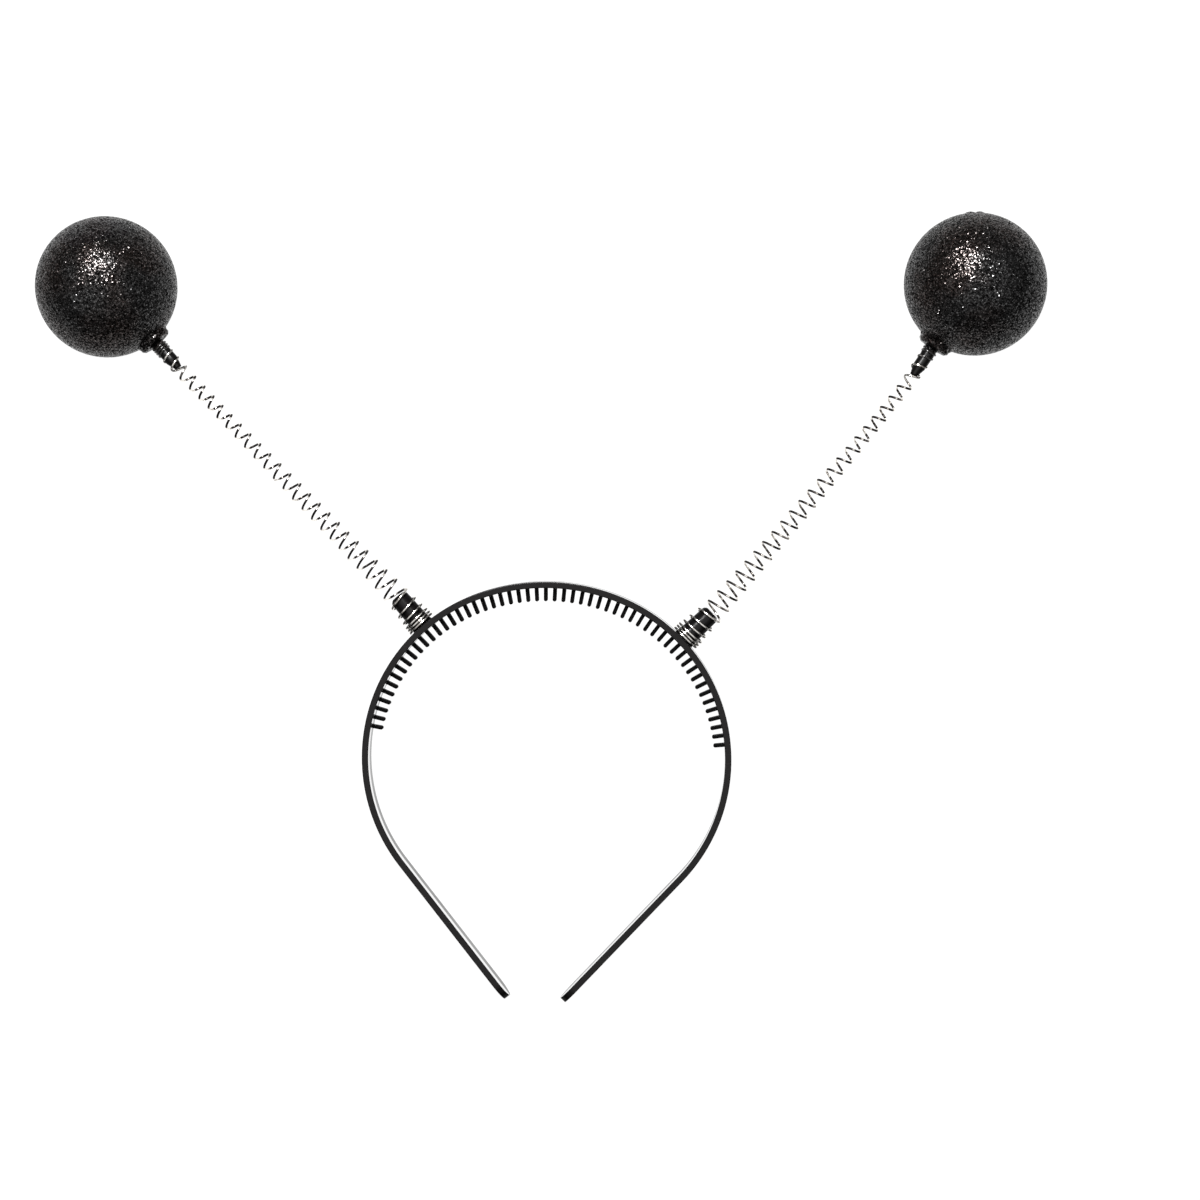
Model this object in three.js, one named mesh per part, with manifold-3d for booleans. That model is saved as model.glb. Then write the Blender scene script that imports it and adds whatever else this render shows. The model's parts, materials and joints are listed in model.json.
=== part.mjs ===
// Antenna headband: a black comb headband that carries a glitter ball on a coil spring at each side.
// Millimetres and degrees. +X runs to the right, +Y from the band's ends towards the balls, and +Z up.
// It lies on a table, resting on both balls and on the two ends of the band.

import * as THREE from 'three';
import { mergeVertices } from 'three/addons/utils/BufferGeometryUtils.js';
import Module from 'manifold-3d';

// Band: a flat strip that stands on its edge, an arc over the crown, tighter arcs at the sides, straight arms
const BAND_WIDTH = 9;
const BAND_THICKNESS = 2.1;
const CROWN_RADIUS = 63;
const CROWN_HALF_SWEEP = 22;
const SIDE_RADIUS = 55;
const ARM_TURN = 130.7;
const ARM_LENGTH = 56;
const ARM_END_ROUNDING = 6;
const ARC_SEGMENTS = 14;
const END_SEGMENTS = 6;

// Comb teeth on the inner face, centred on the band's width; the last few at each end are shorter
const TOOTH_COUNT = 55;
const TOOTH_PITCH = 3.035;
const TOOTH_LENGTH = 4.4;
const END_TOOTH_LENGTH = 3.6;
const TOOTH_FALL_POWER = 3;
const TOOTH_THICKNESS = 1.25;
const TOOTH_DEPTH = 2.6;
const ROOT_DEPTH = 1;
const TIP_SEGMENTS = 2;

// Posts on the outer face, each flared at its foot and tapered to its tip
const POST_ANGLE = 43.9;
const POST_DIAMETER = 7.1;
const POST_TIP_DIAMETER = 6.4;
const POST_LENGTH = 12.6;
const POST_CHAMFER = 0.9;
const FOOT_DIAMETER = 7.8;
const FOOT_HEIGHT = 0.7;
const POST_SIDES = 20;

// Springs: one length of wire, wound wide and close on the post, narrow along the free part, close on the stem
const WIRE_DIAMETER = 0.55;
const WIRE_SIDES = 5;
const STEPS_PER_TURN = 9;
const SPRING_LIFT = 0.6;
const POST_HANDLE = 5;
const STEM_HANDLE = 14;
// pitch is a share of the open coils' mean pitch, at a number of turns from the band
const WINDING = [
  { turn: 0, pitch: 0.22 },
  { turn: 1.7, pitch: 0.22 },
  { turn: 4.5, pitch: 0.78 },
  { turn: 5.6, pitch: 1 },
  { turn: 11, pitch: 0.97 },
  { turn: 19.5, pitch: 1.05 },
  { turn: 24.6, pitch: 0.94 },
  { turn: 28, pitch: 1.02 },
  { turn: 29.5, pitch: 0.84 },
  { turn: 31.5, pitch: 0.21 },
  { turn: 34, pitch: 0.21 },
];
// outside diameter of the coil, at a distance along the antenna from the band
const COIL = [
  { along: 0, across: 10.2 },
  { along: 2.8, across: 10.2 },
  { along: 5.3, across: 9.4 },
  { along: 12.3, across: 8.5 },
  { along: 20.3, across: 7.6 },
  { along: 28.3, across: 7.3 },
  { along: 41.3, across: 6.6 },
  { along: 59.3, across: 6.2 },
  { along: 81.3, across: 5.2 },
  { along: 99.3, across: 4.8 },
  { along: 117.3, across: 5.1 },
  { along: 129.3, across: 5.4 },
];

// Stems: a moulded plug with a pin inside the spring, a collar that covers the ball's hole, and a glued tail
const STEM_DIAMETER = 3.3;
const STEM_LENGTH = 10.4;
const STEM_TIP_DIAMETER = 2.2;
const STEM_TAPER = 2.5;
const COLLAR_DIAMETER = 10.8;
const COLLAR_HEIGHT = 2;
const COLLAR_EDGE = 0.8;
const COLLAR_SEAT_SHARES = [0.35, 0.7, 1];
const TAIL_DIAMETER = 3.4;
const TAIL_LENGTH = 9;
const STEM_SIDES = 14;

// Balls: light foam under a coat of glitter, with a hole for the stem's tail
const BALL_RADIUS = 22.9;
const BALL_SIDES = 24;
const BALL_RINGS = 14;

const GAP = 0.3;
const WELD_DISTANCE = 1e-4;

// How it lies: the band is turned a little on the table, the left spring is straight and the right one bows.
// reach: post tip to stem tip; lean: that line's angle outwards from the post; nod: the stem's angle likewise.
const BAND_YAW = 3.05;
const ANTENNAS = [
  { name: 'left', side: -1, turns: 34, reach: 103.1, lean: 2.75, nod: 0.8 },
  { name: 'right', side: 1, turns: 32, reach: 100.2, lean: -6.65, nod: -12.6 },
];

const wasm = await Module();
wasm.setup();

const radians = THREE.MathUtils.degToRad;

const blackPlastic = new THREE.MeshStandardMaterial({ color: 0x1c1c1d, roughness: 0.35, metalness: 0 });
const springWire = new THREE.MeshStandardMaterial({ color: 0xb8b4aa, roughness: 0.18, metalness: 1 });
const stemPlastic = new THREE.MeshStandardMaterial({ color: 0x171717, roughness: 0.5, metalness: 0 });
const blackGlitter = new THREE.MeshStandardMaterial({ color: 0x17120f, roughness: 0.55, metalness: 0.2 });

// Unit vector in the band's plane at an angle from the crown, positive towards +X
function heading(angle) {
  return new THREE.Vector3(Math.sin(radians(angle)), Math.cos(radians(angle)), 0);
}

// Matrix that puts a shape's +Y along a heading, with its origin at a point
function placed(point, angle) {
  return new THREE.Matrix4().makeRotationZ(-radians(angle)).setPosition(point);
}

// Straight-line reading of a table, by the named columns
function read(table, key, column, value) {
  const next = Math.max(1, table.findIndex((row) => row[key] >= value));
  const low = table[next - 1];
  const high = table[next];
  const share = (value - low[key]) / (high[key] - low[key]);
  return THREE.MathUtils.lerp(low[column], high[column], share);
}

function toSolid(geometry) {
  const bare = geometry.clone();
  bare.deleteAttribute('normal');
  bare.deleteAttribute('uv');
  const merged = mergeVertices(bare, WELD_DISTANCE);
  const vertProperties = new Float32Array(merged.attributes.position.array);
  const triVerts = new Uint32Array(merged.index.array);
  return new wasm.Manifold(new wasm.Mesh({ numProp: 3, vertProperties, triVerts }));
}

function toGeometry(solid) {
  const { vertProperties, triVerts } = solid.getMesh();
  const geometry = new THREE.BufferGeometry();
  geometry.setAttribute('position', new THREE.BufferAttribute(vertProperties, 3));
  geometry.setIndex(new THREE.BufferAttribute(triVerts, 1));
  geometry.computeVertexNormals();
  return geometry;
}

// Centre of the side arc: it meets the crown arc without a corner
function sideCentre(side) {
  return heading(side * CROWN_HALF_SWEEP).multiplyScalar(CROWN_RADIUS - SIDE_RADIUS);
}

// Point of the arm, at a distance past the side arc and a height over the inner face
function armPoint(side, distance, height) {
  const outward = heading(side * ARM_TURN);
  const onward = heading(side * (ARM_TURN + 90));
  return sideCentre(side).addScaledVector(outward, SIDE_RADIUS + height).addScaledVector(onward, distance);
}

// Place and angle on the inner face, at a distance along it from the crown
function innerFace(distance) {
  const side = Math.sign(distance);
  const crownLength = CROWN_RADIUS * radians(CROWN_HALF_SWEEP);
  const past = Math.abs(distance) - crownLength;
  if (past <= 0) {
    const angle = THREE.MathUtils.radToDeg(distance / CROWN_RADIUS);
    return { angle, point: heading(angle).multiplyScalar(CROWN_RADIUS) };
  }
  const angle = side * (CROWN_HALF_SWEEP + THREE.MathUtils.radToDeg(past / SIDE_RADIUS));
  return { angle, point: sideCentre(side).addScaledVector(heading(angle), SIDE_RADIUS) };
}

function bandStrip() {
  const arcs = [
    { centre: sideCentre(-1), radius: SIDE_RADIUS, from: -ARM_TURN, to: -CROWN_HALF_SWEEP },
    { centre: new THREE.Vector3(), radius: CROWN_RADIUS, from: -CROWN_HALF_SWEEP, to: CROWN_HALF_SWEEP },
    { centre: sideCentre(1), radius: SIDE_RADIUS, from: CROWN_HALF_SWEEP, to: ARM_TURN },
  ];
  const outline = new THREE.Shape();
  const start = armPoint(-1, ARM_LENGTH, BAND_THICKNESS);
  outline.moveTo(start.x, start.y);
  for (const { centre, radius, from, to } of arcs) {
    outline.absarc(centre.x, centre.y, radius + BAND_THICKNESS, radians(90 - from), radians(90 - to), true);
  }
  for (const height of [BAND_THICKNESS, 0]) {
    const end = armPoint(1, ARM_LENGTH, height);
    outline.lineTo(end.x, end.y);
  }
  for (const { centre, radius, from, to } of arcs.toReversed()) {
    outline.absarc(centre.x, centre.y, radius, radians(90 - to), radians(90 - from), false);
  }
  const last = armPoint(-1, ARM_LENGTH, 0);
  outline.lineTo(last.x, last.y);
  outline.closePath();
  const strip = new THREE.ExtrudeGeometry(outline, {
    depth: BAND_WIDTH,
    bevelEnabled: false,
    curveSegments: ARC_SEGMENTS,
  });
  return toSolid(strip.translate(0, 0, -BAND_WIDTH / 2));
}

// What is cut off an arm's end to leave it rounded like a tongue: a block with a half ellipse in it
function armEndCut(side) {
  const half = BAND_WIDTH / 2;
  const clear = 2;
  const cut = new THREE.Shape();
  cut.moveTo(0, half);
  cut.absellipse(0, 0, ARM_END_ROUNDING, half, Math.PI / 2, -Math.PI / 2, true);
  cut.lineTo(0, -half - clear);
  cut.lineTo(ARM_END_ROUNDING + clear, -half - clear);
  cut.lineTo(ARM_END_ROUNDING + clear, half + clear);
  cut.lineTo(0, half + clear);
  cut.closePath();
  const block = new THREE.ExtrudeGeometry(cut, {
    depth: BAND_THICKNESS + 2 * clear,
    bevelEnabled: false,
    curveSegments: END_SEGMENTS,
  });
  const onward = heading(side * (ARM_TURN + 90));
  const across = new THREE.Vector3(0, 0, 1);
  const through = new THREE.Vector3().crossVectors(onward, across);
  const height = BAND_THICKNESS / 2;
  const origin = armPoint(side, ARM_LENGTH - ARM_END_ROUNDING, height);
  origin.addScaledVector(through, -height - clear);
  const frame = new THREE.Matrix4().makeBasis(onward, across, through).setPosition(origin);
  return toSolid(block.applyMatrix4(frame));
}

function tooth(number) {
  const middle = (TOOTH_COUNT - 1) / 2;
  const place = number - middle;
  const fall = Math.abs(place / middle) ** TOOTH_FALL_POWER;
  const length = THREE.MathUtils.lerp(TOOTH_LENGTH, END_TOOTH_LENGTH, fall);
  const half = TOOTH_THICKNESS / 2;
  const outline = new THREE.Shape();
  outline.moveTo(half, -ROOT_DEPTH);
  outline.lineTo(half, length - half);
  outline.absarc(0, length - half, half, 0, Math.PI, false);
  outline.lineTo(-half, -ROOT_DEPTH);
  outline.closePath();
  const blade = new THREE.ExtrudeGeometry(outline, {
    depth: TOOTH_DEPTH,
    bevelEnabled: false,
    curveSegments: TIP_SEGMENTS,
  });
  blade.translate(0, 0, -TOOTH_DEPTH / 2);
  const { angle, point } = innerFace(place * TOOTH_PITCH);
  return toSolid(blade.applyMatrix4(placed(point, angle + 180)));
}

function postBase(side) {
  return sideCentre(side).addScaledVector(heading(side * POST_ANGLE), SIDE_RADIUS + BAND_THICKNESS);
}

function post(side) {
  const tipRadius = POST_TIP_DIAMETER / 2;
  const profile = [
    new THREE.Vector2(0, -ROOT_DEPTH),
    new THREE.Vector2(FOOT_DIAMETER / 2, -ROOT_DEPTH),
    new THREE.Vector2(FOOT_DIAMETER / 2, 0),
    new THREE.Vector2(POST_DIAMETER / 2, FOOT_HEIGHT),
    new THREE.Vector2(tipRadius, POST_LENGTH - POST_CHAMFER),
    new THREE.Vector2(tipRadius - POST_CHAMFER, POST_LENGTH),
    new THREE.Vector2(0, POST_LENGTH),
  ];
  const turned = new THREE.LatheGeometry(profile, POST_SIDES);
  return toSolid(turned.applyMatrix4(placed(postBase(side), side * POST_ANGLE)));
}

function headband() {
  let solid = bandStrip();
  for (const side of [-1, 1]) {
    solid = solid.subtract(armEndCut(side)).add(post(side));
  }
  for (let number = 0; number < TOOTH_COUNT; number += 1) {
    solid = solid.add(tooth(number));
  }
  const mesh = new THREE.Mesh(toGeometry(solid), blackPlastic);
  mesh.name = 'headband';
  return mesh;
}

// Middle line of an antenna in the band's plane: up the post, along the free spring and down the stem
function antennaLine({ side, reach, lean, nod }) {
  const postAngle = side * POST_ANGLE;
  const stemAngle = side * (POST_ANGLE + nod);
  const base = postBase(side);
  const postTip = base.clone().addScaledVector(heading(postAngle), POST_LENGTH);
  const stemTip = postTip.clone().addScaledVector(heading(side * (POST_ANGLE + lean)), reach);
  const collar = stemTip.clone().addScaledVector(heading(stemAngle), STEM_LENGTH);
  const ball = collar.clone().addScaledVector(heading(stemAngle), COLLAR_HEIGHT + BALL_RADIUS);
  const line = new THREE.CurvePath();
  line.add(new THREE.LineCurve3(base, postTip));
  line.add(new THREE.CubicBezierCurve3(
    postTip,
    postTip.clone().addScaledVector(heading(postAngle), POST_HANDLE),
    stemTip.clone().addScaledVector(heading(stemAngle), -STEM_HANDLE),
    stemTip,
  ));
  line.add(new THREE.LineCurve3(stemTip, collar));
  return { line, ball, stemAngle };
}

// The wire's own middle line: a right-handed coil round the antenna's line, that starts over the band
class CoilCurve extends THREE.Curve {
  constructor(line, turns) {
    super();
    this.line = line;
    this.turns = turns;
    this.start = SPRING_LIFT;
    this.end = line.getLength() - GAP - WIRE_DIAMETER / 2;
    this.openPitch = (this.end - this.start) / CoilCurve.wound(this.turns);
  }

  // Length wound by a number of turns, in open pitches: the area under the table's pitch
  static wound(turns) {
    let length = 0;
    for (let row = 1; row < WINDING.length; row += 1) {
      const from = WINDING[row - 1].turn;
      const to = Math.min(turns, WINDING[row].turn);
      if (to > from) {
        length += (to - from) * read(WINDING, 'turn', 'pitch', (from + to) / 2);
      }
    }
    return length;
  }

  getUtoTmapping(share) {
    return share;
  }

  getPoint(share, target = new THREE.Vector3()) {
    const turned = share * this.turns;
    const along = this.start + this.openPitch * CoilCurve.wound(turned);
    const onLine = along / this.line.getLength();
    const radius = (read(COIL, 'along', 'across', along) - WIRE_DIAMETER) / 2;
    const up = new THREE.Vector3(0, 0, 1);
    const leftward = up.clone().cross(this.line.getTangent(onLine));
    const phase = turned * 2 * Math.PI;
    target.copy(this.line.getPoint(onLine));
    target.addScaledVector(leftward, radius * Math.cos(phase));
    return target.addScaledVector(up, radius * Math.sin(phase));
  }
}

function spring(name, line, turns) {
  const corners = Array.from({ length: WIRE_SIDES }, (_, corner) => {
    const angle = 2 * Math.PI * corner / WIRE_SIDES;
    return new THREE.Vector2(Math.cos(angle), Math.sin(angle)).multiplyScalar(WIRE_DIAMETER / 2);
  });
  const section = new THREE.Shape(corners);
  const wire = new CoilCurve(line, turns);
  const geometry = new THREE.ExtrudeGeometry(section, {
    steps: turns * STEPS_PER_TURN,
    extrudePath: wire,
  });
  const mesh = new THREE.Mesh(geometry, springWire);
  mesh.name = `spring_${name}`;
  return mesh;
}

// Stem along its own axis, from the ball's centre out to the tip; the collar's underside follows the ball
function stem(name) {
  const collarBase = BALL_RADIUS;
  const collarTop = BALL_RADIUS + COLLAR_HEIGHT;
  const seatRadius = BALL_RADIUS + GAP;
  const profile = [
    new THREE.Vector2(0, collarBase - TAIL_LENGTH),
    new THREE.Vector2(TAIL_DIAMETER / 2, collarBase - TAIL_LENGTH),
  ];
  for (const share of COLLAR_SEAT_SHARES) {
    const radius = share * COLLAR_DIAMETER / 2;
    profile.push(new THREE.Vector2(radius, Math.sqrt(seatRadius ** 2 - radius ** 2)));
  }
  profile.push(
    new THREE.Vector2(COLLAR_DIAMETER / 2, collarTop - COLLAR_EDGE),
    new THREE.Vector2(COLLAR_DIAMETER / 2 - COLLAR_EDGE, collarTop),
    new THREE.Vector2(STEM_DIAMETER / 2, collarTop),
    new THREE.Vector2(STEM_DIAMETER / 2, collarTop + STEM_LENGTH - STEM_TAPER),
    new THREE.Vector2(STEM_TIP_DIAMETER / 2, collarTop + STEM_LENGTH),
    new THREE.Vector2(0, collarTop + STEM_LENGTH),
  );
  const mesh = new THREE.Mesh(new THREE.LatheGeometry(profile, STEM_SIDES), stemPlastic);
  mesh.name = `stem_${name}`;
  return mesh;
}

// Ball round its centre, with the tail's hole at its +Y side
function ball(name) {
  const holeRadius = TAIL_DIAMETER / 2 + GAP;
  const holeFloor = BALL_RADIUS - TAIL_LENGTH - GAP;
  const mouth = Math.asin(holeRadius / BALL_RADIUS);
  const profile = [];
  for (let ring = 0; ring <= BALL_RINGS; ring += 1) {
    const angle = THREE.MathUtils.lerp(Math.PI, mouth, ring / BALL_RINGS);
    const radius = ring === 0 ? 0 : BALL_RADIUS * Math.sin(angle);
    profile.push(new THREE.Vector2(radius, BALL_RADIUS * Math.cos(angle)));
  }
  profile.push(new THREE.Vector2(holeRadius, holeFloor), new THREE.Vector2(0, holeFloor));
  const mesh = new THREE.Mesh(new THREE.LatheGeometry(profile, BALL_SIDES), blackGlitter);
  mesh.name = `ball_${name}`;
  return mesh;
}

// Everything in the band's own plane, with the crown arc's centre at the origin
const worn = new THREE.Group();
worn.rotation.z = -radians(BAND_YAW);
worn.add(headband());
for (const antenna of ANTENNAS) {
  const { line, ball: centre, stemAngle } = antennaLine(antenna);
  worn.add(spring(antenna.name, line, antenna.turns));
  const bobble = new THREE.Group();
  bobble.position.copy(centre);
  bobble.rotation.z = Math.PI - radians(stemAngle);
  bobble.add(stem(antenna.name), ball(antenna.name));
  worn.add(bobble);
}

// The plane's slope on the table: from the balls' radius down to the lower corner of the arms' straight edge
const turned = (point) => point.clone().applyAxisAngle(new THREE.Vector3(0, 0, 1), -radians(BAND_YAW));
const ballReach = Math.min(...ANTENNAS.map((antenna) => turned(antennaLine(antenna).ball).y));
const lastEdge = ARM_LENGTH - ARM_END_ROUNDING;
const armReach = Math.min(...[-1, 1].map((side) => turned(armPoint(side, lastEdge, BAND_THICKNESS)).y));
const reach = ballReach - armReach;
const slope = Math.asin(BALL_RADIUS / Math.hypot(reach, BAND_WIDTH / 2)) - Math.atan(BAND_WIDTH / 2 / reach);
const lying = new THREE.Group();
lying.rotation.x = slope;
lying.add(worn);

// Set down with the middle of its box's underside at the origin
const antennaHeadband = new THREE.Group();
antennaHeadband.add(lying);
antennaHeadband.updateMatrixWorld(true);
const box = new THREE.Box3().setFromObject(antennaHeadband, true);
const middle = box.getCenter(new THREE.Vector3());
lying.position.set(-middle.x, -middle.y, -box.min.z);

export default antennaHeadband;
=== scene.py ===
import json
import math
import random

import bmesh
import bpy
from mathutils import Matrix, Vector, noise
from mathutils.geometry import interpolate_bezier
from mathutils.kdtree import KDTree


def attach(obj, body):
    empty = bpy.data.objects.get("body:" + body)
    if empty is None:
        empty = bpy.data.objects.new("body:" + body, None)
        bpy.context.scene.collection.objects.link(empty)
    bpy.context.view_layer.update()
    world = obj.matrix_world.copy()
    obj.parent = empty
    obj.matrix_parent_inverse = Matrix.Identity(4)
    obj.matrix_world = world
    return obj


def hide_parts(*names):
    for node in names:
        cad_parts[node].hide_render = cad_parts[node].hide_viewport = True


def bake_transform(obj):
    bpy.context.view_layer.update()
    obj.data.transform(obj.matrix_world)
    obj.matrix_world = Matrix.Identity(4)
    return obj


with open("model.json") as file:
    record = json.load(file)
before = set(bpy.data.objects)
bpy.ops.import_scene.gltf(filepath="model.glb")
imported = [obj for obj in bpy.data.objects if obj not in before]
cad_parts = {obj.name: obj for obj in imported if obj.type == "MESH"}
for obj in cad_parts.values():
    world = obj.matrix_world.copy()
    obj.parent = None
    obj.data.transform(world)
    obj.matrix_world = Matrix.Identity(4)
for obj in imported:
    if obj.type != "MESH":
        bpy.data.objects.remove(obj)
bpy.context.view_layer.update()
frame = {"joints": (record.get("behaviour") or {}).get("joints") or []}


# Headband: one strip of glossy black plastic that stands on its edge, an arc over the crown, tighter
# arcs at the sides and two straight arms. The comb teeth inside it and the two posts that hold the
# springs come out of the same mould, so all of it is one piece.
band_width = 0.009
band_thickness = 0.0021
band_edge_rounding = 0.0003
crown_radius = 0.063
crown_half_sweep = math.radians(22)
side_radius = 0.055
arm_turn = math.radians(130.7)
arm_length = 0.056
arm_end_rounding = 0.006
arm_end_turn = math.radians(88)
arm_end_steps = 9
sweep_step = math.radians(2)
weld_distance = 1e-6

# It lies a little turned on the table, with its plane sloping up to the balls' centres.
band_normal = Vector(frame["joints"][0]["axis"])
band_slope = math.atan2(-band_normal.y, band_normal.z)
band_yaw = math.radians(3.05)
crown_centre = Vector((0.001901, -0.055558, 0.009988))
lying = (
    Matrix.Translation(crown_centre)
    @ Matrix.Rotation(band_slope, 4, "X")
    @ Matrix.Rotation(-band_yaw, 4, "Z")
)
up = Vector((0, 0, 1))


def heading(angle):
    """Unit vector in the band's plane, at an angle from the crown towards the right."""
    return Vector((math.sin(angle), math.cos(angle), 0))


def along_heading(point, angle):
    """Matrix that puts a shape's +Y along a heading, with its origin at a point."""
    return Matrix.Translation(point) @ Matrix.Rotation(-angle, 4, "Z")


def side_centre(side):
    """Centre of a side arc, which runs on from the crown arc without a corner."""
    return heading(side * crown_half_sweep) * (crown_radius - side_radius)


def make_piece(name, shape, *materials):
    """Turns a finished bmesh into an object at the origin, with its faces pointing outwards."""
    bmesh.ops.recalc_face_normals(shape, faces=shape.faces[:])
    mesh = bpy.data.meshes.new(name)
    shape.to_mesh(mesh)
    shape.free()
    for material in materials:
        mesh.materials.append(material)
    piece = bpy.data.objects.new(name, mesh)
    bpy.context.scene.collection.objects.link(piece)
    return piece


def add_copy(whole, shape, place):
    """Adds a copy of one bmesh to another, put in its place."""
    copy = bpy.data.meshes.new("copy")
    shape.to_mesh(copy)
    copy.transform(place)
    whole.from_mesh(copy)
    bpy.data.meshes.remove(copy)


def turned(profile, sides):
    """Body turned about the Y axis, from (radius, along) points that start and end on the axis."""
    shape = bmesh.new()
    points = [shape.verts.new((radius, along, 0)) for radius, along in profile]
    edges = [shape.edges.new(pair) for pair in zip(points, points[1:])]
    bmesh.ops.spin(
        shape,
        geom=points + edges,
        axis=(0, 1, 0),
        angle=2 * math.pi,
        steps=sides,
        use_merge=True,
    )
    bmesh.ops.remove_doubles(shape, verts=shape.verts[:], dist=weld_distance)
    bmesh.ops.recalc_face_normals(shape, faces=shape.faces[:])
    return shape


def round_edges(shape, rounding, sharper_than):
    """Rounds the edges of a shape that turn by more than an angle."""
    edges = [edge for edge in shape.edges if edge.calc_face_angle(0) > sharper_than]
    bmesh.ops.bevel(
        shape,
        geom=edges,
        affect="EDGES",
        offset=rounding,
        segments=3,
        profile=0.5,
        material=-1,
    )


def edges_of(geometry):
    """The edges among what an operator gives back."""
    return [item for item in geometry if isinstance(item, bmesh.types.BMEdge)]


def verts_of(geometry):
    """The vertices among what an operator gives back."""
    return [item for item in geometry if isinstance(item, bmesh.types.BMVert)]


# The strip is drawn out from its section where the left arm meets the left arc.
headband = bmesh.new()
bmesh.ops.create_grid(headband, x_segments=1, y_segments=1, size=0.5)
bmesh.ops.scale(headband, vec=(band_thickness, band_width, 1), verts=headband.verts[:])
bmesh.ops.bevel(
    headband,
    geom=headband.verts[:],
    affect="VERTICES",
    offset=band_edge_rounding,
    segments=4,
    profile=0.5,
    material=-1,
)
bmesh.ops.delete(headband, geom=headband.faces[:], context="FACES_ONLY")
outward = heading(-arm_turn)
section_middle = side_centre(-1) + outward * (side_radius + band_thickness / 2)
section_place = Matrix((outward, up, outward.cross(up))).transposed().to_4x4()
section_place.translation = section_middle
bmesh.ops.transform(headband, matrix=section_place, verts=headband.verts[:])

left_ring = headband.verts[:] + headband.edges[:]
right_ring = left_ring
side_sweep = arm_turn - crown_half_sweep
for centre, sweep in (
    (side_centre(-1), side_sweep),
    (Vector(), 2 * crown_half_sweep),
    (side_centre(1), side_sweep),
):
    swept = bmesh.ops.spin(
        headband,
        geom=right_ring,
        cent=centre,
        axis=-up,
        angle=sweep,
        steps=round(sweep / sweep_step),
    )
    right_ring = swept["geom_last"]


def draw_out(ring, move, narrowing):
    """Draws a ring of the strip on by a move, and narrows it across the band's width."""
    drawn = bmesh.ops.extrude_edge_only(headband, edges=edges_of(ring))["geom"]
    new_verts = verts_of(drawn)
    bmesh.ops.translate(headband, vec=move, verts=new_verts)
    bmesh.ops.scale(headband, vec=(1, 1, narrowing), verts=new_verts)
    return new_verts + [edge for edge in edges_of(drawn) if edge.is_boundary]


for side, ring in ((-1, left_ring), (1, right_ring)):
    onward = heading(side * (arm_turn + math.pi / 2))
    ring = draw_out(ring, onward * (arm_length - arm_end_rounding), 1)
    reached = 0
    width_share = 1
    for step in range(1, arm_end_steps + 1):
        turn = arm_end_turn * step / arm_end_steps
        ahead = arm_end_rounding * math.sin(turn)
        ring = draw_out(ring, onward * (ahead - reached), math.cos(turn) / width_share)
        reached = ahead
        width_share = math.cos(turn)
    bmesh.ops.edgeloop_fill(headband, edges=edges_of(ring))

# The comb: blades with a full-round tip, rooted in the strip and centred on its width. The last few
# at each end stand out less.
tooth_count = 55
tooth_pitch = 0.003035
tooth_length = 0.0044
end_tooth_length = 0.0036
tooth_fall_power = 3
tooth_thickness = 0.00125
tooth_depth = 0.0026
tooth_tip_share = 0.49
tooth_rounding = 0.00022
tooth_edge_turn = math.radians(60)
root_depth = 0.001

tooth = bmesh.new()
blade_length = tooth_length + root_depth
bmesh.ops.create_cube(tooth, size=1)
bmesh.ops.scale(tooth, vec=(tooth_thickness, blade_length, tooth_depth), verts=tooth.verts[:])
bmesh.ops.translate(tooth, vec=(0, blade_length / 2 - root_depth, 0), verts=tooth.verts[:])
tip_edges = [
    edge for edge in tooth.edges
    if all(vert.co.y > 0 for vert in edge.verts) and edge.verts[0].co.x == edge.verts[1].co.x
]
bmesh.ops.bevel(
    tooth,
    geom=tip_edges,
    affect="EDGES",
    offset=tooth_tip_share * tooth_thickness,
    segments=5,
    profile=0.5,
    material=-1,
)
round_edges(tooth, tooth_rounding, tooth_edge_turn)
# The teeth take a darker, duller copy of the same moulding: painted shade, as they sit low in the band's
# width.
for face in tooth.faces:
    face.material_index = 1

crown_length = crown_radius * crown_half_sweep
comb_half = (tooth_count - 1) / 2
for number in range(tooth_count):
    along = (number - comb_half) * tooth_pitch
    past_crown = max(0, abs(along) - crown_length)
    side = math.copysign(1, along)
    if past_crown > 0:
        angle = side * (crown_half_sweep + past_crown / side_radius)
        foot = side_centre(side) + heading(angle) * side_radius
    else:
        angle = along / crown_radius
        foot = heading(angle) * crown_radius
    fall = abs(number / comb_half - 1) ** tooth_fall_power
    sunk = (tooth_length - end_tooth_length) * fall
    add_copy(headband, tooth, along_heading(foot + heading(angle) * sunk, angle + math.pi))
tooth.free()

# The posts: each one flares at its foot and narrows a little to its chamfered tip.
post_angle = math.radians(43.9)
post_length = 0.0126
post_radius = 0.00355
post_tip_radius = 0.0032
post_chamfer = 0.0009
post_rounding = 0.0004
post_edge_turn = math.radians(25)
foot_radius = 0.0039
foot_height = 0.0007
post_sides = 40

post = turned(
    (
        (0, -root_depth),
        (foot_radius, -root_depth),
        (foot_radius, 0),
        (post_radius, foot_height),
        (post_tip_radius, post_length - post_chamfer),
        (post_tip_radius - post_chamfer, post_length),
        (0, post_length),
    ),
    post_sides,
)
round_edges(post, post_rounding, post_edge_turn)
post_base = {}
for side in (-1, 1):
    outward = heading(side * post_angle)
    post_base[side] = side_centre(side) + outward * (side_radius + band_thickness)
    add_copy(headband, post, along_heading(post_base[side], side * post_angle))
post.free()

# The painted shade on the band's walls needs to know how high a point lies in the band's width, from 0 at
# the lower edge to 1 at the upper one.
rise = headband.verts.layers.float.new("rise")
for vert in headband.verts:
    vert[rise] = vert.co.z / band_width + 0.5
bmesh.ops.transform(headband, matrix=lying, verts=headband.verts[:])
for face in headband.faces:
    face.smooth = True


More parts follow.
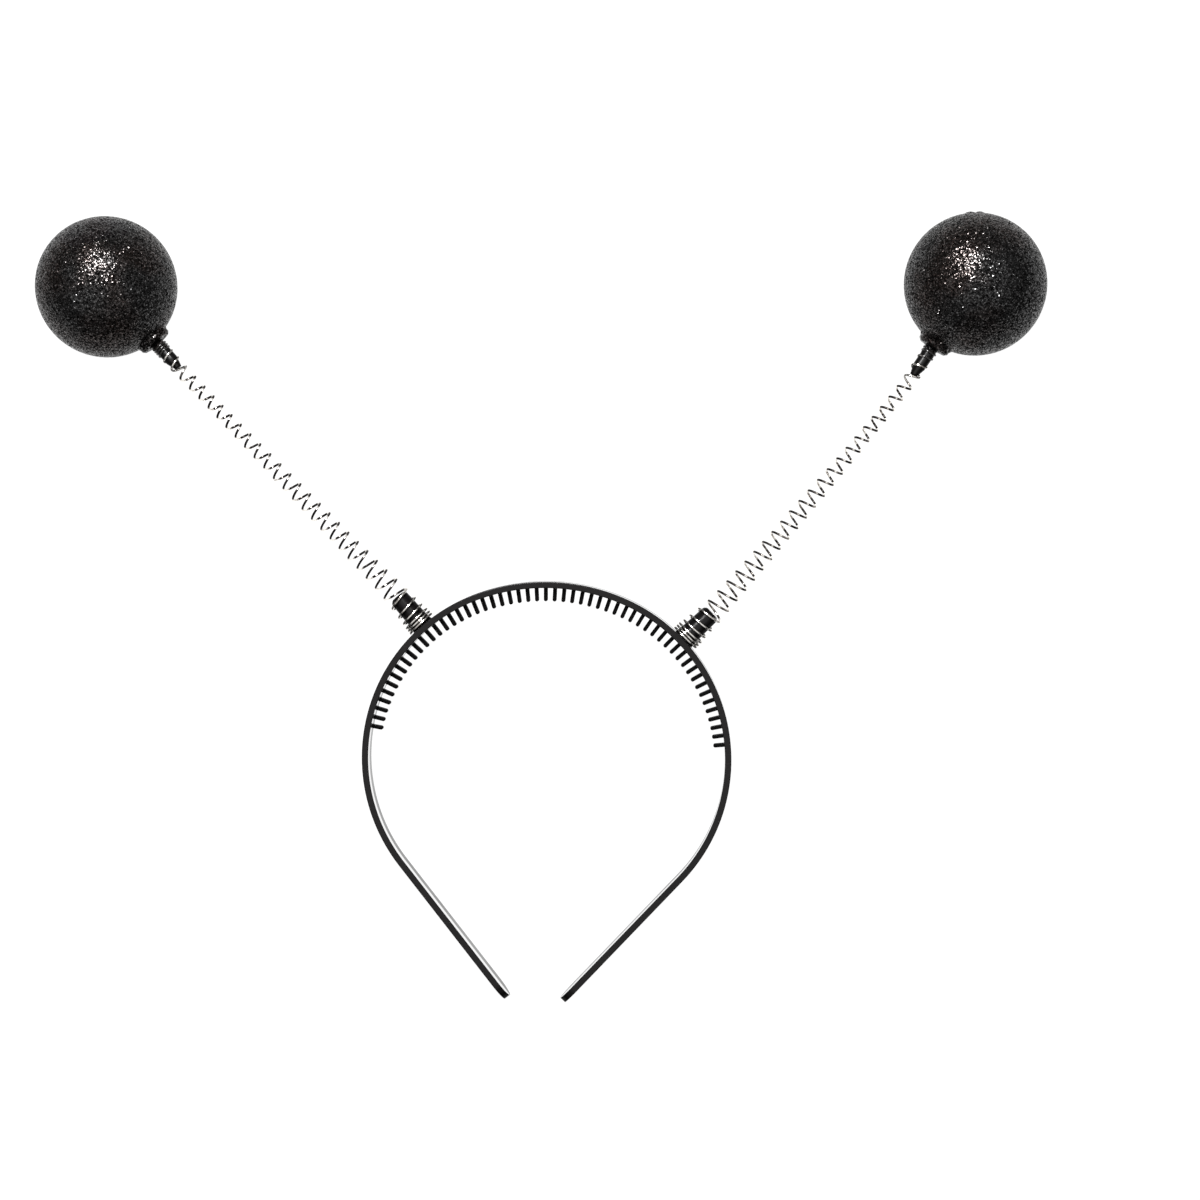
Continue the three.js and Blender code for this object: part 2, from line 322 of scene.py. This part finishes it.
def new_group(name, inputs, outputs):
    """An empty shader node group, with its sockets named and typed."""
    group = bpy.data.node_groups.new(name, "ShaderNodeTree")
    for direction, sockets in (("INPUT", inputs), ("OUTPUT", outputs)):
        for socket_name, kind in sockets:
            group.interface.new_socket(socket_name, in_out=direction, socket_type=kind)
    entry = group.nodes.new("NodeGroupInput")
    leave = group.nodes.new("NodeGroupOutput")
    return group, entry.outputs, leave.inputs


def node(tree, kind, settings=(), **sockets):
    """Adds a node with its settings, gives its sockets a value or a link, and gives back its outputs."""
    made = tree.nodes.new(kind)
    for name, value in dict(settings).items():
        setattr(made, name, value)
    for name, value in sockets.items():
        socket = made.inputs[int(name[1:]) if name[1:].isdigit() else name.replace("_", " ")]
        if isinstance(value, bpy.types.NodeSocket):
            tree.links.new(value, socket)
        else:
            socket.default_value = value
    return made.outputs


def ramp(tree, factor, *stops):
    """Colour ramp through (place, value) stops, where a value is a grey or a colour."""
    made = tree.nodes.new("ShaderNodeValToRGB")
    tree.links.new(factor, made.inputs["Fac"])
    elements = made.color_ramp.elements
    while len(elements) < len(stops):
        elements.new(0)
    for element, (place, value) in zip(elements, stops):
        element.position = place
        colour = value if isinstance(value, tuple) else (value,) * 3
        element.color = (*colour, 1)
    return made.outputs["Color"]


def clouds(tree, place, scale, detail, roughness=0.5):
    """Soft random pattern, with values round a half."""
    made = node(
        tree, "ShaderNodeTexNoise", Vector=place, Scale=scale, Detail=detail, Roughness=roughness
    )
    return made["Fac"]


def worked_out(tree, operation, *values):
    """The result of one step of arithmetic on values and sockets."""
    sockets = {f"_{place}": value for place, value in enumerate(values)}
    return node(tree, "ShaderNodeMath", {"operation": operation}, **sockets)["Value"]


def mixed(tree, factor, first, second, blend="MIX"):
    """Two colours mixed, or multiplied if the blend says so."""
    settings = {"data_type": "RGBA", "blend_type": blend}
    return node(tree, "ShaderNodeMix", settings, Factor=factor, _6=first, _7=second)[2]


def turned_away(tree):
    """0 where a surface faces the eye, up to 1 where it is seen along its face."""
    return node(tree, "ShaderNodeLayerWeight", Blend=0.5)["Facing"]


def attribute(tree, name):
    """A value that the mesh keeps for each of its points."""
    return node(tree, "ShaderNodeAttribute", {"attribute_name": name})["Fac"]


def new_material(name):
    """A material with one Principled shader; gives its tree, that shader and the Object coordinates."""
    material = bpy.data.materials.new(name)
    material.use_nodes = True
    tree = material.node_tree
    tree.nodes.clear()
    shader = tree.nodes.new("ShaderNodeBsdfPrincipled")
    leave = tree.nodes.new("ShaderNodeOutputMaterial")
    tree.links.new(shader.outputs["BSDF"], leave.inputs["Surface"])
    place = node(tree, "ShaderNodeTexCoord")["Object"]
    return material, tree, shader, place


# Moulded marks: the fine orange peel of moulded plastic, and the hair scuffs that handling leaves on it.
patch_scale = 70
scuff_scale = 260
scuff_turn = (0.3, 0.2, 0.7)
scuff_stretch = (1, 9, 9)
marks, marks_in, marks_out = new_group(
    "moulded_marks",
    (("Place", "NodeSocketVector"), ("Grain Scale", "NodeSocketFloat"), ("Scuff Scale", "NodeSocketFloat")),
    (("Grain", "NodeSocketFloat"), ("Scuff", "NodeSocketFloat"), ("Patch", "NodeSocketFloat")),
)
grain = clouds(marks, marks_in["Place"], marks_in["Grain Scale"], 3)
stretched = node(
    marks, "ShaderNodeMapping", Vector=marks_in["Place"], Rotation=scuff_turn, Scale=scuff_stretch
)
hairs = clouds(marks, stretched["Vector"], marks_in["Scuff Scale"], 4, roughness=0.7)
thin_hairs = ramp(marks, hairs, (0.56, 0.0), (0.66, 1.0))
patch = ramp(marks, clouds(marks, marks_in["Place"], patch_scale, 2), (0.38, 0.0), (0.64, 1.0))
marks.links.new(grain, marks_out["Grain"])
marks.links.new(worked_out(marks, "MULTIPLY", thin_hairs, patch), marks_out["Scuff"])
marks.links.new(patch, marks_out["Patch"])


def moulded_plastic(name, dark, worn, gloss, dull, grain_scale, mirror, sheen):
    """Black moulded plastic, between two shades and two roughnesses, with fine grain.

    Faces turned to the eye mirror most, and round flanks are darkened with painted shade. Where the sheen
    is 1, a wall seen along its face mirrors the room in its upper half and is painted black below, as
    painted shade.
    """
    patch_dulling = 0.35
    grain_height = 0.00005
    grain_strength = 0.12
    material, tree, shader, place = new_material(name)
    mark = node(
        tree,
        "ShaderNodeGroup",
        {"node_tree": marks},
        Place=place,
        Grain_Scale=grain_scale,
        Scuff_Scale=scuff_scale,
    )
    colour = ramp(tree, mark["Scuff"], (0.0, dark), (1.0, worn))
    cloudy = worked_out(tree, "MULTIPLY_ADD", mark["Patch"], patch_dulling, mark["Scuff"])
    roughness = ramp(tree, cloudy, (0.0, gloss), (1.0, dull))
    bump = node(
        tree, "ShaderNodeBump", Strength=grain_strength, Distance=grain_height, Height=mark["Grain"]
    )
    away = turned_away(tree)
    # Painted shade: the colour is darkened where the surface turns away from the eye.
    painted_flank_shade = ramp(tree, away, (0.04, 1.0), (0.4, 0.25), (1.0, 0.2))
    level = ramp(tree, away, (0.02, mirror), (0.07, 0.2 * mirror), (1.0, 0.1 * mirror))
    # Painted reflection and shade: a wall seen along its face turns to mirror in its upper half and is
    # painted black in its lower half.
    seen_along = ramp(tree, away, (0.72, 0.0), (0.8, sheen))
    wall = ramp(tree, attribute(tree, "rise"), (0.5, 0.0), (0.6, 0.8))
    flanked = mixed(tree, 1.0, colour, painted_flank_shade, "MULTIPLY")
    tree.links.new(mixed(tree, seen_along, flanked, wall), shader.inputs["Base Color"])
    tree.links.new(seen_along, shader.inputs["Metallic"])
    tree.links.new(roughness, shader.inputs["Roughness"])
    tree.links.new(level, shader.inputs["Specular IOR Level"])
    tree.links.new(bump["Normal"], shader.inputs["Normal"])
    return material


band_plastic = moulded_plastic(
    "glossy_black_moulding",
    dark=(0.0039, 0.0035, 0.0036),
    worn=(0.007, 0.0065, 0.0066),
    gloss=0.2,
    dull=0.34,
    grain_scale=1500,
    mirror=0.22,
    sheen=1.0,
)
# A darker copy of the band's own plastic for the teeth: painted shade for their low place between the
# band's edges.
comb_plastic_painted_shade = moulded_plastic(
    "comb_moulding_painted_shade",
    dark=(0.0013, 0.0012, 0.0012),
    worn=(0.0026, 0.0025, 0.0025),
    gloss=0.3,
    dull=0.42,
    grain_scale=1500,
    mirror=0.04,
    sheen=0.0,
)
comb_headband = make_piece("comb_headband", headband, band_plastic, comb_plastic_painted_shade)
comb_headband.modifiers.new("even_shading", "WEIGHTED_NORMAL")
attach(comb_headband, "headband")
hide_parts("headband")


# Springs: one length of bright wire each, wound wide and close round its post, open and narrowing along
# the free part, and close again on the stem. The last turns are caught in the ball's black coat.
wire_diameter = 0.00076
wire_steps_per_turn = 60
coil_lift = 0.0006
coil_clearance = 0.0003
post_handle = 0.005
stem_handle = 0.014
free_line_points = 300
stem_length = 0.0104
collar_height = 0.002
ball_radius = 0.0229
# (turns from the band, pitch as a share of the open coils' mean pitch)
winding = (
    (0, 0.22), (1.7, 0.22), (4.5, 0.78), (5.6, 1), (11, 0.97), (19.5, 1.05), (24.6, 0.94), (28, 1.02),
    (29.5, 0.84), (31.5, 0.21), (34, 0.21),
)
# (distance along the antenna from the band, outside diameter of the coil)
coil_widths = (
    (0, 0.0102), (0.0028, 0.0102), (0.0053, 0.0094), (0.0123, 0.0085), (0.0203, 0.0076),
    (0.0283, 0.0073), (0.0413, 0.0066), (0.0593, 0.0062), (0.0813, 0.0052), (0.0993, 0.0048),
    (0.1173, 0.0051), (0.1293, 0.0054),
)
# reach: from the post's tip to the stem's; lean: degrees of that line outwards from the post; nod: the
# stem's degrees likewise
antennas = (
    {"name": "left", "side": -1, "turns": 34, "reach": 0.1031, "lean": 2.75, "nod": 0.8},
    {"name": "right", "side": 1, "turns": 32, "reach": 0.1002, "lean": -6.65, "nod": -12.6},
)


def between(table, value):
    """Straight-line reading of a table of (place, value) pairs."""
    for (low, low_value), (high, high_value) in zip(table, table[1:]):
        if value <= high:
            break
    return low_value + (high_value - low_value) * (value - low) / (high - low)


def clamped(value):
    """A value, held between 0 and 1."""
    return min(1, max(0, value))


def lay_out(antenna):
    """Adds an antenna's main points, in the band's plane, to its row."""
    side = antenna["side"]
    reach_way = heading(side * (post_angle + math.radians(antenna["lean"])))
    antenna["stem_angle"] = side * (post_angle + math.radians(antenna["nod"]))
    antenna["post_way"] = heading(side * post_angle)
    antenna["stem_way"] = heading(antenna["stem_angle"])
    antenna["post_tip"] = post_base[side] + antenna["post_way"] * post_length
    antenna["stem_tip"] = antenna["post_tip"] + reach_way * antenna["reach"]
    antenna["collar"] = antenna["stem_tip"] + antenna["stem_way"] * stem_length
    antenna["ball"] = antenna["collar"] + antenna["stem_way"] * (collar_height + ball_radius)


def middle_line(antenna):
    """Points along an antenna's middle: up the post, along the free spring and down the stem."""
    free = interpolate_bezier(
        antenna["post_tip"],
        antenna["post_tip"] + antenna["post_way"] * post_handle,
        antenna["stem_tip"] - antenna["stem_way"] * stem_handle,
        antenna["stem_tip"],
        free_line_points,
    )
    return [post_base[antenna["side"]], *free, antenna["collar"]]


def coil(line, turns):
    """The wire's own middle line: a right-handed coil round a line, with the tables' pitch and width."""
    reached = [0]
    for start, end in zip(line, line[1:]):
        reached.append(reached[-1] + (end - start).length)
    first = coil_lift
    last = reached[-1] - coil_clearance - wire_diameter / 2
    wound = [0]
    for step in range(turns * wire_steps_per_turn):
        wound.append(wound[-1] + between(winding, (step + 0.5) / wire_steps_per_turn))
    points = []
    part = 0
    for step, share in enumerate(wound):
        along = first + (last - first) * share / wound[-1]
        while reached[part + 1] < along:
            part += 1
        forward = (line[part + 1] - line[part]).normalized()
        radius = (between(coil_widths, along) - wire_diameter) / 2
        phase = 2 * math.pi * step / wire_steps_per_turn
        points.append(
            line[part]
            + forward * (along - reached[part])
            + up.cross(forward) * radius * math.cos(phase)
            + up * radius * math.sin(phase)
        )
    return points


def wire_mesh(name, points):
    """Mesh of a round wire along points, with its ends closed."""
    wire = bpy.data.curves.new(name, "CURVE")
    wire.dimensions = "3D"
    wire.bevel_depth = wire_diameter / 2
    wire.bevel_resolution = 3
    wire.use_fill_caps = True
    spline = wire.splines.new("POLY")
    spline.points.add(len(points) - 1)
    for spot, point in zip(spline.points, points):
        spot.co = (*point, 1)
    drawn = bpy.data.objects.new(name, wire)
    mesh = bpy.data.meshes.new_from_object(drawn)
    bpy.data.objects.remove(drawn)
    bpy.data.curves.remove(wire)
    mesh.name = name
    mesh.shade_smooth()
    return mesh


def keep_values(mesh, name, values):
    """Keeps a value for each point of a mesh, which its material reads."""
    mesh.attributes.new(name, "FLOAT", "POINT").data.foreach_set("value", values)


def spring_wire(name):
    """Bright wire, tarnished in spots, with painted light and dark reflections; gripped turns have painted
    shade on edges, coated ones are black.
    """
    tarnish_scale = 420
    coat_raggedness = 0.8
    coat_colour = (0.006, 0.0055, 0.005, 1)
    material, tree, shader, place = new_material(name)
    tarnish = clouds(tree, place, tarnish_scale, 3, roughness=0.6)
    gripped = attribute(tree, "gripped")
    # Painted reflection: the gleam attribute paints light and dark spots on the wire, added to its real
    # tarnish.
    tarnish_and_painted_gleam = worked_out(tree, "ADD", attribute(tree, "gleam"), tarnish)
    metal = ramp(
        tree,
        tarnish_and_painted_gleam,
        (0.66, (0.012, 0.01, 0.009)),
        (0.78, (0.5, 0.46, 0.42)),
        (0.88, (0.95, 0.92, 0.87)),
    )
    roughness = ramp(tree, tarnish_and_painted_gleam, (0.66, 0.3), (0.88, 0.08))
    # Painted shade: the edges of gripped turns are darkened where they turn from the eye.
    painted_edge_shade = ramp(tree, turned_away(tree), (0.25, 1.0), (0.4, 0.03), (0.66, 0.03), (0.8, 1.0))
    edged = mixed(tree, gripped, metal, painted_edge_shade, "MULTIPLY")
    coat_edge = worked_out(tree, "MULTIPLY_ADD", tarnish, coat_raggedness, attribute(tree, "coat"))
    coated = ramp(tree, coat_edge, (0.75, 0.0), (0.95, 1.0))
    bare = worked_out(tree, "SUBTRACT", 1.0, coated)
    mirror_share = ramp(tree, gripped, (0.0, 0.9), (1.0, 1.0))
    tree.links.new(mixed(tree, coated, edged, coat_colour), shader.inputs["Base Color"])
    tree.links.new(worked_out(tree, "MULTIPLY", bare, mirror_share), shader.inputs["Metallic"])
    tree.links.new(roughness, shader.inputs["Roughness"])
    return material


coat_reach = 0.0025
coat_fade = 0.003
grip_reach = 0.0145
grip_fade = 0.003
# Gripped turns take one even painted gleam in place of the painted reflection spots.
grip_gleam = 0.42
# (share of a turn, how light the wire is there): painted reflection, whose light and dark spots come round
# with each turn
painted_gleams = {
    "left": (
        (0, 0.45), (0.07, 0.4), (0.09, 0), (0.29, 0), (0.31, 0.5), (0.35, 0.5), (0.37, 0), (0.46, 0),
        (0.48, 0.45), (0.595, 0.45), (0.615, 0), (0.74, 0), (0.76, 0.25), (0.785, 0.25), (0.79, 0),
        (0.84, 0), (0.86, 0.4), (1, 0.45),
    ),
    "right": (
        (0, 0.45), (0.04, 0.45), (0.06, 0), (0.22, 0), (0.24, 0.4), (0.265, 0.4), (0.285, 0.15),
        (0.43, 0.15), (0.45, 0.5), (0.58, 0.5), (0.6, 0), (0.66, 0), (0.667, 0.3), (0.675, 0.3),
        (0.682, 0), (0.745, 0), (0.77, 0.3), (0.9, 0.3), (0.93, 0.45), (1, 0.45),
    ),
}
wire_metal = spring_wire("bright_spring_wire")
for antenna in antennas:
    lay_out(antenna)
    name = "coil_spring_" + antenna["name"]
    points = [lying @ point for point in coil(middle_line(antenna), antenna["turns"])]
    mesh = wire_mesh(name, points)
    mesh.materials.append(wire_metal)

    collar = lying @ antenna["collar"]
    stem_way = lying.to_3x3() @ antenna["stem_way"]
    foot = lying @ post_base[antenna["side"]]
    from_collar = [(collar - vert.co).dot(stem_way) for vert in mesh.vertices]
    from_foot = [(vert.co - foot).length for vert in mesh.vertices]
    coats = [clamped(1 - (away - coat_reach) / coat_fade) for away in from_collar]
    grips = [
        clamped((grip_reach - min(near, far)) / grip_fade) for near, far in zip(from_foot, from_collar)
    ]
    nearest = KDTree(len(points))
    for step, point in enumerate(points):
        nearest.insert(point, step)
    nearest.balance()
    turn_shares = [nearest.find(vert.co)[1] / wire_steps_per_turn % 1 for vert in mesh.vertices]
    # Painted reflection: each point takes its painted lightness from its place in the turn.
    lights = [
        grip * grip_gleam + (1 - grip) * between(painted_gleams[antenna["name"]], share)
        for grip, share in zip(grips, turn_shares)
    ]
    keep_values(mesh, "coat", coats)
    keep_values(mesh, "gripped", grips)
    keep_values(mesh, "gleam", lights)

    coil_spring = bpy.data.objects.new(name, mesh)
    bpy.context.scene.collection.objects.link(coil_spring)
    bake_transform(coil_spring)
    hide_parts("spring_" + antenna["name"])


# Stems: a small black plug at the foot of each ball. Its pin holds the end of the spring, and its collar
# covers the ball's hole. The ball's coat was brushed on over the collar, and runs a little onto the pin.
pin_radius = 0.0021
pin_tip_radius = 0.0011
pin_taper = 0.0034
sleeve_radius = 0.00215
sleeve_length = 0.002
sleeve_fade = 0.0012
collar_radius = 0.0054
collar_rounding = 0.0007
collar_dome = 0.0004
collar_flare_depth = 0.0004
collar_root = 0.003
stem_sides = 72
collar_row = 0.00035
coat_cuts = 5
coat_lump = 0.00028
coat_lump_scale = 330

# Glitter flakes: small cells, each with its own shade, mirror strength, shine and tilt. Most lie nearly
# flat and a few stand well up. Coarser clumps make the coat grainy, and wide faint patches tint it brown.
clump_scale = 1300
tint_scale = 55
widest_tilt = 1.3
flakes, flakes_in, flakes_out = new_group(
    "glitter_flakes",
    (("Place", "NodeSocketVector"), ("Flake Scale", "NodeSocketFloat")),
    (
        ("Color", "NodeSocketColor"),
        ("Metal", "NodeSocketFloat"),
        ("Roughness", "NodeSocketFloat"),
        ("Normal", "NodeSocketVector"),
    ),
)
cells = node(flakes, "ShaderNodeTexVoronoi", Vector=flakes_in["Place"], Scale=flakes_in["Flake Scale"])
draw_one = node(flakes, "ShaderNodeSeparateXYZ", Vector=cells["Color"])
draw_two = node(flakes, "ShaderNodeTexWhiteNoise", {"noise_dimensions": "3D"}, Vector=cells["Position"])
clump = ramp(flakes, clouds(flakes, flakes_in["Place"], clump_scale, 1), (0.42, 0.12), (0.58, 1.0))
patches = clouds(flakes, flakes_in["Place"], tint_scale, 2)
tint = ramp(flakes, patches, (0.42, (1.0, 0.92, 0.95)), (0.58, (1.0, 0.68, 0.6)))
sparkle = ramp(flakes, patches, (0.42, 0.18), (0.6, (0.18, 0.158, 0.152)))
shade = ramp(flakes, draw_two["Value"], (0.0, 0.0009), (0.5, 0.002), (0.75, 0.007), (1.0, 0.023))
tinted = mixed(flakes, 1.0, shade, tint, "MULTIPLY")
clumped = mixed(flakes, 1.0, tinted, clump, "MULTIPLY")
strength = ramp(
    flakes, draw_one["X"], (0.0, 0.0), (0.35, 0.02), (0.55, 0.2), (0.8, 0.45), (1.0, 1.0)
)
mirror = worked_out(flakes, "MULTIPLY", strength, clump)
spread = ramp(flakes, draw_one["Y"], (0.0, 0.12), (0.5, 0.24), (0.8, 0.55), (1.0, 1.0))
tilt = worked_out(flakes, "MULTIPLY", spread, widest_tilt)
centred = node(
    flakes, "ShaderNodeVectorMath", {"operation": "SUBTRACT"}, _0=draw_two["Color"], _1=(0.5, 0.5, 0.5)
)
lean = node(flakes, "ShaderNodeVectorMath", {"operation": "SCALE"}, _0=centred["Vector"], Scale=tilt)
own_normal = node(flakes, "ShaderNodeNewGeometry")["Normal"]
leaning = node(flakes, "ShaderNodeVectorMath", {"operation": "ADD"}, _0=own_normal, _1=lean["Vector"])
tipped = node(flakes, "ShaderNodeVectorMath", {"operation": "NORMALIZE"}, _0=leaning["Vector"])
flakes.links.new(mixed(flakes, mirror, clumped, sparkle), flakes_out["Color"])
flakes.links.new(ramp(flakes, mirror, (0.0, 0.0), (0.1, 0.97)), flakes_out["Metal"])
flakes.links.new(ramp(flakes, draw_one["Z"], (0.0, 0.1), (1.0, 0.22)), flakes_out["Roughness"])
flakes.links.new(tipped["Vector"], flakes_out["Normal"])


def glitter_coat(name, flake_scale):
    """Black glitter, with flakes of one size, and painted shade that dims it towards the rim."""
    material, tree, shader, place = new_material(name)
    flake = node(
        tree, "ShaderNodeGroup", {"node_tree": flakes}, Place=place, Flake_Scale=flake_scale
    )
    # Painted shade: the flakes' colour is dimmed where the surface turns from the eye.
    painted_rim_shade = ramp(tree, turned_away(tree), (0.0, 1.0), (0.35, 0.75), (0.7, 0.64), (1.0, 0.58))
    dimmed = mixed(tree, 1.0, flake["Color"], painted_rim_shade, "MULTIPLY")
    shader.inputs["Specular IOR Level"].default_value = 0.0
    tree.links.new(dimmed, shader.inputs["Base Color"])
    tree.links.new(flake["Metal"], shader.inputs["Metallic"])
    tree.links.new(flake["Roughness"], shader.inputs["Roughness"])
    tree.links.new(flake["Normal"], shader.inputs["Normal"])
    return material


stem_plastic = moulded_plastic(
    "satin_black_stem",
    dark=(0.003, 0.0028, 0.0028),
    worn=(0.007, 0.0066, 0.0064),
    gloss=0.32,
    dull=0.5,
    grain_scale=2200,
    mirror=0.3,
    sheen=0.0,
)
collar_glitter = glitter_coat("glitter_over_collar", flake_scale=2600)

collar_foot = math.sqrt(ball_radius**2 - collar_radius**2)
collar_top = ball_radius + collar_height
pin_top = collar_top + stem_length
for seed, antenna in enumerate(antennas, start=1):
    stem = turned(
        (
            (0, ball_radius - collar_root),
            (collar_radius - collar_rounding, ball_radius - collar_root),
            (collar_radius + collar_rounding, collar_foot - collar_flare_depth),
            (collar_radius, collar_foot + collar_rounding),
            (collar_radius, collar_top - collar_dome - collar_rounding),
            (collar_radius - collar_rounding, collar_top - collar_dome),
            (sleeve_radius, collar_top),
            (sleeve_radius, collar_top + sleeve_length),
            (pin_radius, collar_top + sleeve_length + sleeve_fade),
            (pin_radius, pin_top - pin_taper),
            (pin_tip_radius, pin_top),
            (0, pin_top),
        ),
        stem_sides,
    )
    long_edges = [edge for edge in stem.edges if edge.calc_length() > 2 * collar_row]
    bmesh.ops.subdivide_edges(stem, edges=long_edges, cuts=coat_cuts, use_grid_fill=True)
    for vert in stem.verts:
        above = vert.co.y - collar_top
        coated = 1 - clamped((above - sleeve_length) / sleeve_fade)
        lump = noise.noise(vert.co * coat_lump_scale + Vector((seed, 0, 0)))
        vert.co += vert.normal * lump * coat_lump * coated
    for face in stem.faces:
        on_coat = face.calc_center_median().y < collar_top + sleeve_length
        face.material_index = 0 if on_coat else 1
        face.smooth = not on_coat
    stem_place = lying @ along_heading(antenna["ball"], antenna["stem_angle"] + math.pi)
    bmesh.ops.transform(stem, matrix=stem_place, verts=stem.verts[:])
    ball_stem = make_piece("ball_stem_" + antenna["name"], stem, collar_glitter, stem_plastic)
    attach(ball_stem, "antenna_" + antenna["name"])
    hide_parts("stem_" + antenna["name"])


# Balls: light foam, rolled in black glitter while its varnish was wet, so that its skin is fine and
# uneven. A drip of varnish dried as a small lump at the top of the right ball.
ball_detail = 7
flake_rise = 0.00002
flake_slide = 0.00004
drip_radius = 0.0016
drip_height = 0.0004
drips = {
    "left": (),
    "right": (Vector((-0.085, 0.985, 0.15)), Vector((0.06, 0.99, 0.12))),
}
ball_glitter = glitter_coat("black_glitter_coat", flake_scale=3500)

for seed, antenna in enumerate(antennas, start=11):
    draw = random.Random(seed)
    ball = bmesh.new()
    bmesh.ops.create_icosphere(ball, subdivisions=ball_detail, radius=ball_radius - flake_rise)
    for vert in ball.verts:
        outward = vert.co.normalized()
        slide = Vector((draw.gauss(0, 1), draw.gauss(0, 1), draw.gauss(0, 1))) * flake_slide
        lift = draw.uniform(-1, 1) * flake_rise
        for drip in drips[antenna["name"]]:
            away = (outward - drip.normalized()).length * ball_radius / drip_radius
            lift += drip_height * max(0, 1 - away * away)
        vert.co += slide - outward * slide.dot(outward) + outward * lift
    bmesh.ops.translate(ball, vec=lying @ antenna["ball"], verts=ball.verts[:])
    glitter_ball = make_piece("glitter_ball_" + antenna["name"], ball, ball_glitter)
    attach(glitter_ball, "antenna_" + antenna["name"])
    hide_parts("ball_" + antenna["name"])


# Table: a plain white sheet that the headband lies on, softly lit from below as well, so that shadows
# stay faint.
table_half_side = 4
table_glow = 1.0
fibre_scale = 40
table = bmesh.new()
bmesh.ops.create_grid(table, x_segments=1, y_segments=1, size=table_half_side)
paper, tree, shader, place = new_material("white_table")
paper_shade = ramp(tree, clouds(tree, place, fibre_scale, 3), (0.3, 0.03), (0.7, 0.033))
tree.links.new(paper_shade, shader.inputs["Base Color"])
shader.inputs["Roughness"].default_value = 0.8
shader.inputs["Specular IOR Level"].default_value = 0.2
shader.inputs["Emission Color"].default_value = (1, 1, 1, 1)
shader.inputs["Emission Strength"].default_value = table_glow
white_table = make_piece("white_table", table, paper)


# Studio light: one strong soft box beyond the balls, in a room that is bright overhead and dark near the
# horizon, so that bright wire shows both light and dark.
key_place = Vector((-0.16, 0.61, 0.93))
key_target = Vector((0, 0.1, 0))
key_side = 0.44
key_radiance = 60
key_light = bpy.data.lights.new("key_box", "AREA")
key_light.shape = "SQUARE"
key_light.size = key_side
key_light.energy = key_radiance * math.pi * key_side * key_side
key_box = bpy.data.objects.new("key_box", key_light)
key_box.location = key_place
key_box.rotation_euler = (key_target - key_place).to_track_quat("-Z", "Y").to_euler()
bpy.context.scene.collection.objects.link(key_box)

room = bpy.data.worlds.new("studio_room")
room.use_nodes = True
bpy.context.scene.world = room
tree = room.node_tree
direction = node(tree, "ShaderNodeTexCoord")["Generated"]
height = node(tree, "ShaderNodeSeparateXYZ", Vector=direction)["Z"]
sky = ramp(tree, height, (0.0, 0.04), (0.42, 0.04), (0.58, 0.7), (1.0, 0.8))
tree.links.new(sky, tree.nodes["Background"].inputs["Color"])


# Camera: high above the table, a little to the right of the headband's middle and nearer its arms,
# and tipped to the left and towards the balls.
eye = Vector((0.0555, -0.0315, 0.880))
aim = Vector((0.0192, 0.0038, 0))
camera_data = bpy.data.cameras.new("camera")
camera_data.lens = 80
camera_data.sensor_width = 36
camera = bpy.data.objects.new("camera", camera_data)
back = (eye - aim).normalized()
right = Vector((0, 1, 0)).cross(back).normalized()
camera.matrix_world = (
    Matrix.Translation(eye) @ Matrix((right, back.cross(right), back)).transposed().to_4x4()
)
bpy.context.scene.collection.objects.link(camera)
bpy.context.scene.camera = camera
bpy.context.scene.view_settings.view_transform = "Standard"
